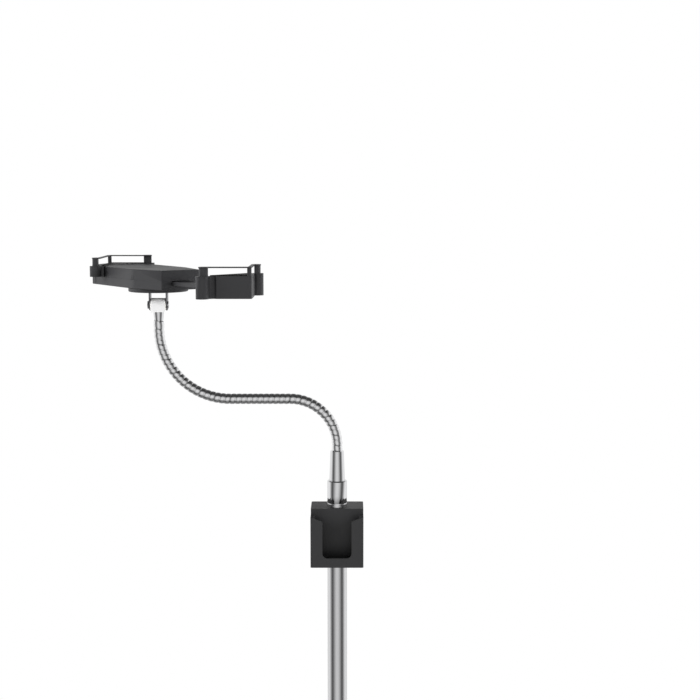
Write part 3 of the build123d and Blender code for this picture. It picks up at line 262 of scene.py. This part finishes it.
tube_steel = worked_metal("tube_steel", (0.74, 0.74, 0.75), (0.14, 0.22), 900.0, (1, 1, 0.02), 0.00001)
chrome = worked_metal("chrome", (0.82, 0.82, 0.83), (0.07, 0.12), 500.0, (1, 1, 0.1), 0.0)
neck_chrome = worked_metal("neck_chrome", (0.94, 0.94, 0.95), (0.2, 0.28), 700.0, (1, 1, 1), 0.000006)
clevis_steel = worked_metal("clevis_steel", (0.16, 0.16, 0.17), (0.3, 0.4), 600.0, (1, 1, 1), 0.00001)
block_nickel = worked_metal(
    "block_nickel", (0.83, 0.83, 0.83), (0.5, 0.62), 1400.0, (1, 1, 1), 0.00003, 0.1
)
screw_steel = worked_metal("screw_steel", (0.56, 0.56, 0.57), (0.25, 0.4), 800.0, (1, 1, 1), 0.00002)
spring_steel = worked_metal("spring_steel", (0.35, 0.37, 0.43), (0.25, 0.35), 900.0, (1, 1, 1), 0.00001)
shoe_brass = worked_metal("shoe_brass", (0.78, 0.58, 0.25), (0.22, 0.35), 800.0, (1, 1, 1), 0.00002)
print("metals ready")

# %% [markdown]
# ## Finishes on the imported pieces
#
# The record names a slot for every piece, so one loop puts the right finish on each of them. Every piece gets
# a Weld modifier, which joins its loose triangles. Sharp model edges look like paper, so the pieces whose
# edges catch the light get a small Bevel modifier too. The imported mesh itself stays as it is.

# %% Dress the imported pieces
FINISHES = {
    "rubber": rubber,
    "base_iron": base_iron,
    "base_paint": base_paint,
    "chrome": chrome,
    "neck_chrome": neck_chrome,
    "tube_steel": tube_steel,
    "screw_steel": screw_steel,
    "clevis_steel": clevis_steel,
    "block_nickel": block_nickel,
    "spring_steel": spring_steel,
    "shoe_brass": shoe_brass,
    "holder_plastic": holder_plastic,
    "pocket_plastic": pocket_plastic,
    "clamp_plastic": clamp_plastic,
    "slide_plastic": slide_plastic,
}
SMOOTH_ANGLE = math.radians(32)
WELD_DISTANCE = 0.000002
EDGE_SEGMENTS = 2
EDGE_WIDTHS = {
    "front_cover": 0.0004,
    "rear_shell": 0.0003,
    "fixed_jaw": 0.0005,
    "moving_jaw": 0.0005,
    "accessory_pocket": 0.0012,
    "rack_arm": 0.0002,
    "release_button": 0.0003,
    "swivel_disc": 0.0003,
    "height_clamp": 0.0004,
    "clevis": 0.0002,
    "neck_collar": 0.0001,
    "jaw_cover": 0.0002,
}


def dress(node, material, edge_width):
    """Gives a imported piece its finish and, where it asks for one, a soft edge."""
    node.data.materials.clear()
    node.data.materials.append(material)
    weld = node.modifiers.new("weld", "WELD")
    weld.merge_threshold = WELD_DISTANCE
    if edge_width:
        bevel = node.modifiers.new("edge", "BEVEL")
        bevel.width = edge_width
        bevel.segments = EDGE_SEGMENTS
        bevel.limit_method = "ANGLE"
        bevel.angle_limit = SMOOTH_ANGLE
        bevel.harden_normals = True


for row in frame["record"]["subparts"]:
    dress(nodes[row["node"]], FINISHES[row["material_slot"]], EDGE_WIDTHS.get(row["node"], 0))
print("dressed", len(nodes), "pieces")

# %% [markdown]
# ## The gooseneck's line
#
# A gooseneck is a steel wire wound with a strip of a triangular section, so its outside is a row of ribs. Its
# line here is made of straight runs and two round bends. Each bend has a hinge in the middle of every equal
# share of its arc, so the shares' ends are where the ribs change over from one hinge to the next.

# %% Read the hinges and lay out the neck
RIB_PITCH = 0.0057
RIB_CREST = 0.0057
RIB_VALLEY = 0.00516
RIB_LEAN = math.tan(math.radians(9))

hinges = {joint["name"]: Vector(joint["pos_m"]) for joint in frame["joints"] if "pos_m" in joint}


def bend_joints(group):
    """The names of a bend's joints, in order from the foot."""
    names = [name for name in hinges if name.startswith(group + "_bend_")]
    return sorted(names, key=lambda name: int(name.rsplit("_", 1)[1]))


def heading(start, end):
    """The unit vector from one point to another."""
    return (end - start).normalized()


def share_end(here, there, share):
    """The point at a distance from a hinge towards a neighbour."""
    return here + heading(here, there) * share


lower_joints = bend_joints("lower")
upper_joints = bend_joints("upper")
lower_half = (hinges[lower_joints[1]] - hinges[lower_joints[0]]).length / 2
upper_half = (hinges[upper_joints[1]] - hinges[upper_joints[0]]).length / 2
neck_foot_point = Vector((0, 0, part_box("lower_ferrule")[1][2]))
neck_tip_point = Vector((hinges[upper_joints[-1]].x, 0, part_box("upper_ferrule")[0][2]))
print("lower half step", round(lower_half, 5), "upper half step", round(upper_half, 5))

# %% [markdown]
# ## One length of ribs
#
# Rings of vertices stand across the line and are bridged into a skin. Six rings make a rib: out of the narrow
# valley, over a broad flat crest and down again, a little steeper on one side as the wound strip is. The
# rings lean a few degrees, because a wound strip climbs as it goes round. A screw could be swept instead, but
# rings let each length end exactly where its hinge's share ends.

# %% Build ribbed lengths
RING_SIDES = 28
LEAST_TURN = 1e-5
RIB_PROFILE = (
    (0.0, RIB_VALLEY),
    (0.12, RIB_CREST - 0.00025),
    (0.27, RIB_CREST - 0.00007),
    (0.5, RIB_CREST),
    (0.75, RIB_CREST - 0.00007),
    (0.9, RIB_CREST - 0.00027),
)


def point_and_heading(start, corner, end, share):
    """The place and direction at a share of the round bend from start to end about a corner."""
    first = heading(start, corner)
    last = heading(corner, end)
    turn = first.angle(last)
    if turn < LEAST_TURN:
        return start.lerp(end, share), first
    radius = (corner - start).length / math.tan(turn / 2)
    inward = (last - first * math.cos(turn)).normalized()
    angle = turn * share
    place = start + first * (radius * math.sin(angle)) + inward * (radius * (1 - math.cos(angle)))
    return place, first * math.cos(angle) + inward * math.sin(angle)


def ribbed_length(name, start, corner, end):
    """A mesh of ribs from start to end, which turns about a corner."""
    turn = heading(start, corner).angle(heading(corner, end))
    if turn < LEAST_TURN:
        length = (end - start).length
    else:
        length = turn * (corner - start).length / math.tan(turn / 2)
    ribs = max(1, round(length / RIB_PITCH))
    side = Vector((0, 1, 0))
    mesh = bmesh.new()
    rings = []
    stations = [((rib + share) / ribs, radius) for rib in range(ribs) for share, radius in RIB_PROFILE]
    for share, radius in [*stations, (1.0, RIB_VALLEY)]:
        place, direction = point_and_heading(start, corner, end, share)
        across = side.cross(direction).normalized()
        lean = Matrix((side, across - direction * RIB_LEAN, direction)).transposed().to_4x4()
        made = bmesh.ops.create_circle(
            mesh, cap_ends=False, segments=RING_SIDES, radius=radius, matrix=Matrix.Translation(place) @ lean
        )
        ring = set(made["verts"])
        rings.append([edge for edge in mesh.edges if edge.verts[0] in ring and edge.verts[1] in ring])
    for below, above in zip(rings, rings[1:]):
        bmesh.ops.bridge_loops(mesh, edges=below + above)
    bmesh.ops.recalc_face_normals(mesh, faces=mesh.faces)
    data = bpy.data.meshes.new(name)
    mesh.to_mesh(data)
    mesh.free()
    data.shade_smooth()
    piece = bpy.data.objects.new(name, data)
    bpy.context.scene.collection.objects.link(piece)
    piece.data.materials.append(neck_chrome)
    return piece, ribs


print("rib profile of", len(RIB_PROFILE), "rings")

# %% [markdown]
# ## The neck, length by length
#
# Straight lengths ride on one body. Each share of a bend lies across one hinge and is built in its bent shape,
# so the ribs fan out on the outside of the bend and close up on its inside.


# %% Make the neck
def straight_neck(name, start, end, body, node):
    """A straight ribbed length that rides on one body."""
    piece, ribs = ribbed_length(name, start, start.lerp(end, 0.5), end)
    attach(piece, body)
    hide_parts(node)
    return ribs


def bent_neck(group, joints, before, after, half, replaced):
    """The shares of one bend, each laid across its hinge. Returns the point where the bend ends."""
    corners = [before, *(hinges[joint] for joint in joints), after]
    for index, joint in enumerate(joints):
        last_corner, corner, next_corner = corners[index:index + 3]
        start = share_end(corner, last_corner, half)
        end = share_end(corner, next_corner, half)
        piece, _ = ribbed_length(f"{group}_bend_ribs_{index + 1}", start, corner, end)
        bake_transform(piece)
        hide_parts(replaced[index])
    return end


lower_nodes = [f"neck_lower_{number}" for number in range(1, 7)] + ["neck_middle"]
upper_nodes = [f"neck_upper_{number}" for number in range(1, 7)] + ["neck_tip"]

lower_last = hinges[lower_joints[-1]]
upper_first = hinges[upper_joints[0]]
root_end = share_end(hinges[lower_joints[0]], neck_foot_point, lower_half)
root_ribs = straight_neck("root_ribs", neck_foot_point, root_end, "neck_foot", "neck_root")
middle_start = bent_neck("lower", lower_joints, neck_foot_point, upper_first, lower_half, lower_nodes)
middle_end = share_end(upper_first, lower_last, upper_half)
middle_ribs = straight_neck("middle_ribs", middle_start, middle_end, "neck_middle", "neck_middle")
tip_start = bent_neck("upper", upper_joints, lower_last, neck_tip_point, upper_half, upper_nodes)
tip_ribs = straight_neck("tip_ribs", tip_start, neck_tip_point, "neck_end", "neck_tip")
print("ribs in the straight lengths", root_ribs, middle_ribs, tip_ribs)

# %% [markdown]
# ## The floor
#
# A round pale floor carries the base's shadow and fades to plain white at its edge, where only the camera sees
# the fade. The floor is stage, so it isn't part of the stand.

# %% Make the floor
FLOOR_RADIUS = 2.4
FLOOR_SIDES = 96
FLOOR_PLACE = (0, 0, -0.0002)
FADE_START = 0.5
FADE_END = 1.9

floor_mesh = bmesh.new()
bmesh.ops.create_circle(
    floor_mesh,
    cap_ends=True,
    segments=FLOOR_SIDES,
    radius=FLOOR_RADIUS,
    matrix=Matrix.Translation(FLOOR_PLACE),
)
floor_data = bpy.data.meshes.new("floor")
floor_mesh.to_mesh(floor_data)
floor_mesh.free()
floor = bpy.data.objects.new("floor", floor_data)
bpy.context.scene.collection.objects.link(floor)
floor.visible_glossy = False

floor_material, floor_tree, floor_shader = start_material("floor", (0.8, 0.8, 0.8), 0.0, 0.6)
floor_place = add_node(floor_tree, "ShaderNodeTexCoord")
floor_distance = add_node(floor_tree, "ShaderNodeVectorMath", operation="LENGTH")
join(floor_tree, floor_place.outputs["Object"], floor_distance.inputs[0])
fade = add_node(floor_tree, "ShaderNodeMapRange")
fade.inputs["From Min"].default_value = FADE_START
fade.inputs["From Max"].default_value = FADE_END
join(floor_tree, floor_distance.outputs["Value"], fade.inputs["Value"])
floor_light = add_node(floor_tree, "ShaderNodeEmission")
floor_mix = add_node(floor_tree, "ShaderNodeMixShader")
floor_output = floor_tree.nodes["Material Output"]
join(floor_tree, fade.outputs["Result"], floor_mix.inputs[0])
join(floor_tree, floor_shader.outputs["BSDF"], floor_mix.inputs[1])
join(floor_tree, floor_light.outputs["Emission"], floor_mix.inputs[2])
join(floor_tree, floor_mix.outputs["Shader"], floor_output.inputs["Surface"])
floor.data.materials.append(floor_material)
print("floor radius", FLOOR_RADIUS)

# %% [markdown]
# ## The sky
#
# A photographer lights chrome with white walls and a few dark cards, because the dark reflections draw its
# shape. The sky here does the same: the camera sees white, and shiny surfaces see white with a dark upright
# band at each side and darkness high overhead. Everything else is lit evenly and softly up to well above the
# horizon, and more weakly from overhead, which keeps the tops of black plastic dark. One image wrapped round
# the scene could do this too, but a few ramps over the direction need no picture.

# %% Make the sky
SKY_LIGHT = 0.7
BAND_STOPS = (
    (0.0, 0.75), (0.07, 0.7), (0.13, 0.56), (0.2, 0.34), (0.26, 0.17), (0.31, 0.09),
    (0.37, 0.14), (0.45, 0.45), (0.54, 0.85), (0.65, 0.92), (0.8, 0.8), (1.0, 0.85),
)
HEIGHT_STOPS = ((0.0, 0.3), (0.16, 0.3), (0.28, 1.0), (0.7, 1.0), (0.84, 0.1), (1.0, 0.08))
SOFT_STOPS = ((0.0, 1.0), (0.5, 1.0), (0.7, 0.7), (0.85, 0.3), (1.0, 0.15))

world = bpy.data.worlds.new("studio")
bpy.context.scene.world = world
world.use_nodes = True
sky = world.node_tree
sky.nodes.clear()
sky_place = add_node(sky, "ShaderNodeTexCoord")
sky_axes = add_node(sky, "ShaderNodeSeparateXYZ")
join(sky, sky_place.outputs["Generated"], sky_axes.inputs["Vector"])
sideways = add_node(sky, "ShaderNodeMath", operation="ABSOLUTE")
join(sky, sky_axes.outputs["X"], sideways.inputs[0])
forwards = add_node(sky, "ShaderNodeMath", operation="MULTIPLY")
forwards.inputs[1].default_value = -1.0
join(sky, sky_axes.outputs["Y"], forwards.inputs[0])
azimuth = add_node(sky, "ShaderNodeMath", operation="ARCTAN2")
join(sky, sideways.outputs["Value"], azimuth.inputs[0])
join(sky, forwards.outputs["Value"], azimuth.inputs[1])
turn_share = add_node(sky, "ShaderNodeMath", operation="DIVIDE")
turn_share.inputs[1].default_value = math.pi
join(sky, azimuth.outputs["Value"], turn_share.inputs[0])


def grey_ramp(value, stops):
    """Grey levels at places along a value."""
    ramp = add_node(sky, "ShaderNodeValToRGB")
    while len(ramp.color_ramp.elements) < len(stops):
        ramp.color_ramp.elements.new(0.5)
    for element, (place, level) in zip(ramp.color_ramp.elements, stops):
        element.position = place
        element.color = (level, level, level, 1)
    join(sky, value, ramp.inputs["Fac"])
    return ramp.outputs["Color"]


height = add_node(sky, "ShaderNodeMapRange")
height.inputs["From Min"].default_value = -1.0
join(sky, sky_axes.outputs["Z"], height.inputs["Value"])
cards = add_node(sky, "ShaderNodeMix", data_type="RGBA", blend_type="MULTIPLY")
cards.inputs[0].default_value = 1.0
join(sky, grey_ramp(turn_share.outputs["Value"], BAND_STOPS), cards.inputs[6])
join(sky, grey_ramp(height.outputs["Result"], HEIGHT_STOPS), cards.inputs[7])

even_light = add_node(sky, "ShaderNodeBackground")
even_light.inputs["Strength"].default_value = SKY_LIGHT
join(sky, grey_ramp(height.outputs["Result"], SOFT_STOPS), even_light.inputs["Color"])
shiny_light = add_node(sky, "ShaderNodeBackground")
join(sky, cards.outputs[2], shiny_light.inputs["Color"])
seen_light = add_node(sky, "ShaderNodeBackground")
seen_light.inputs["Color"].default_value = (1, 1, 1, 1)
ray = add_node(sky, "ShaderNodeLightPath")
shiny_mix = add_node(sky, "ShaderNodeMixShader")
join(sky, ray.outputs["Is Glossy Ray"], shiny_mix.inputs[0])
join(sky, even_light.outputs["Background"], shiny_mix.inputs[1])
join(sky, shiny_light.outputs["Background"], shiny_mix.inputs[2])
seen_mix = add_node(sky, "ShaderNodeMixShader")
join(sky, ray.outputs["Is Camera Ray"], seen_mix.inputs[0])
join(sky, shiny_mix.outputs["Shader"], seen_mix.inputs[1])
join(sky, seen_light.outputs["Background"], seen_mix.inputs[2])
sky_output = add_node(sky, "ShaderNodeOutputWorld")
join(sky, seen_mix.outputs["Shader"], sky_output.inputs["Surface"])
print("sky bands", len(BAND_STOPS))

# %% [markdown]
# ## The lamps
#
# Two large soft lamps give the light its direction: a key at the left and a weaker fill at the right. A wide
# lamp makes soft shadows. Both lamps and the floor are left out of reflections, because in chrome they would
# show as hard white patches.

# %% Make the lamps
HOLDER_AIM = (-0.12, 0.0, 1.15)
LAMP_SIZE = 1.4
KEY_PLACE = (-2.5, -0.6, 2.0)
KEY_POWER = 85.0
FILL_PLACE = (2.1, -0.8, 1.5)
FILL_POWER = 55.0


def soft_lamp(name, place, power):
    """A square area lamp that points at the holder."""
    data = bpy.data.lights.new(name, "AREA")
    data.size = LAMP_SIZE
    data.energy = power
    lamp = bpy.data.objects.new(name, data)
    lamp.visible_glossy = False
    lamp.location = place
    lamp.rotation_euler = (Vector(HOLDER_AIM) - Vector(place)).to_track_quat("-Z", "Y").to_euler()
    bpy.context.scene.collection.objects.link(lamp)


soft_lamp("key_lamp", KEY_PLACE, KEY_POWER)
soft_lamp("fill_lamp", FILL_PLACE, FILL_POWER)
bpy.context.scene.view_settings.view_transform = "Standard"
print("lamps ready")
